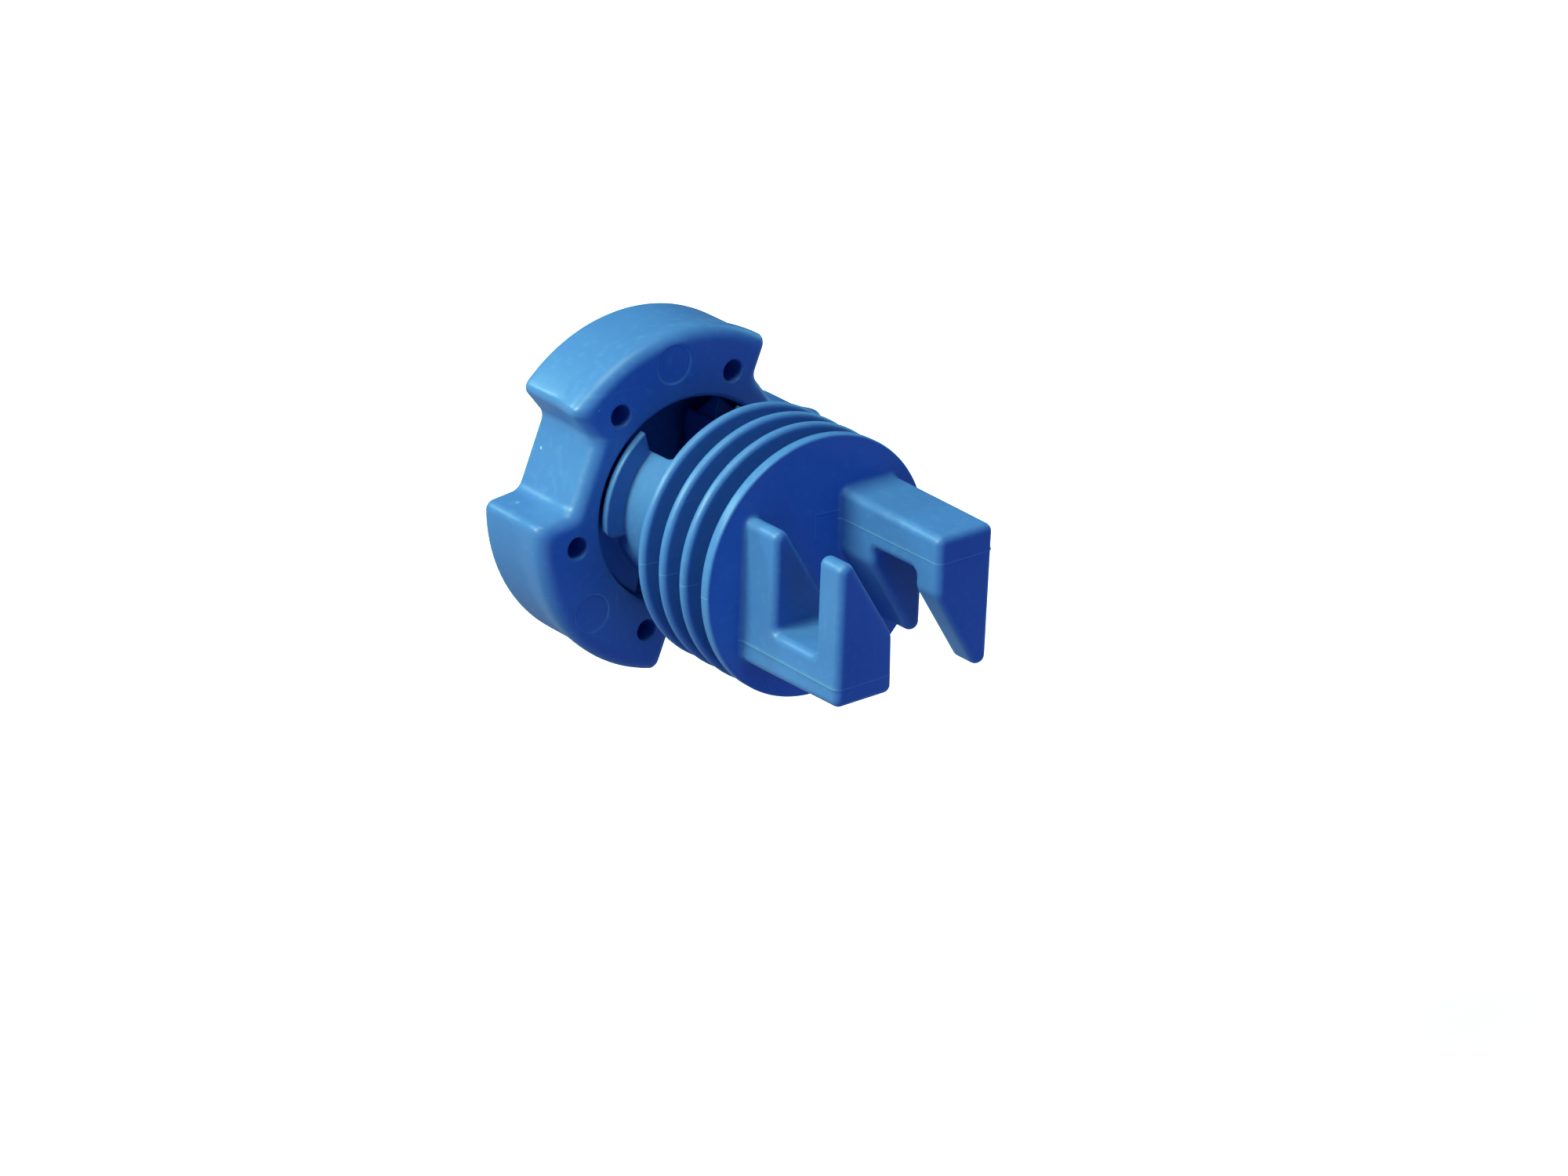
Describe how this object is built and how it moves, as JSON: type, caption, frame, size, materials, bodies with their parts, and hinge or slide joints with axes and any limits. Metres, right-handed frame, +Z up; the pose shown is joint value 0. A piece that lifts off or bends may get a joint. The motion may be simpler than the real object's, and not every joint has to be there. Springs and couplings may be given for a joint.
{
  "type": "fence post insulator",
  "caption": "Clamp-on fence post insulator with two offset rope hooks, round fins, a slotted stem and a lobed screw knob that clamps it to a round post.",
  "frame": {"origin": "where the axis of the clamped post meets the insulator's own axis", "axes": "+Z up along the post, +Y along the insulator's axis towards the clamp knob, so the rope hooks point to -Y and the rope runs along X"},
  "size_m": [0.0484, 0.0615, 0.0477],
  "materials": {
    "insulator_plastic": "semi-matte moulded cobalt blue plastic",
    "knob_plastic": "semi-matte moulded cobalt blue plastic"
  },
  "bodies": {
    "insulator": {"insulator_body": "insulator_plastic"},
    "knob": {"clamp_knob": "knob_plastic"}
  },
  "joints": [
    {"name": "knob_travel", "type": "slide", "parent": "insulator", "child": "knob", "axis": [0, 1, 0], "range_m": [-0.002, 0.00405]}
  ]
}
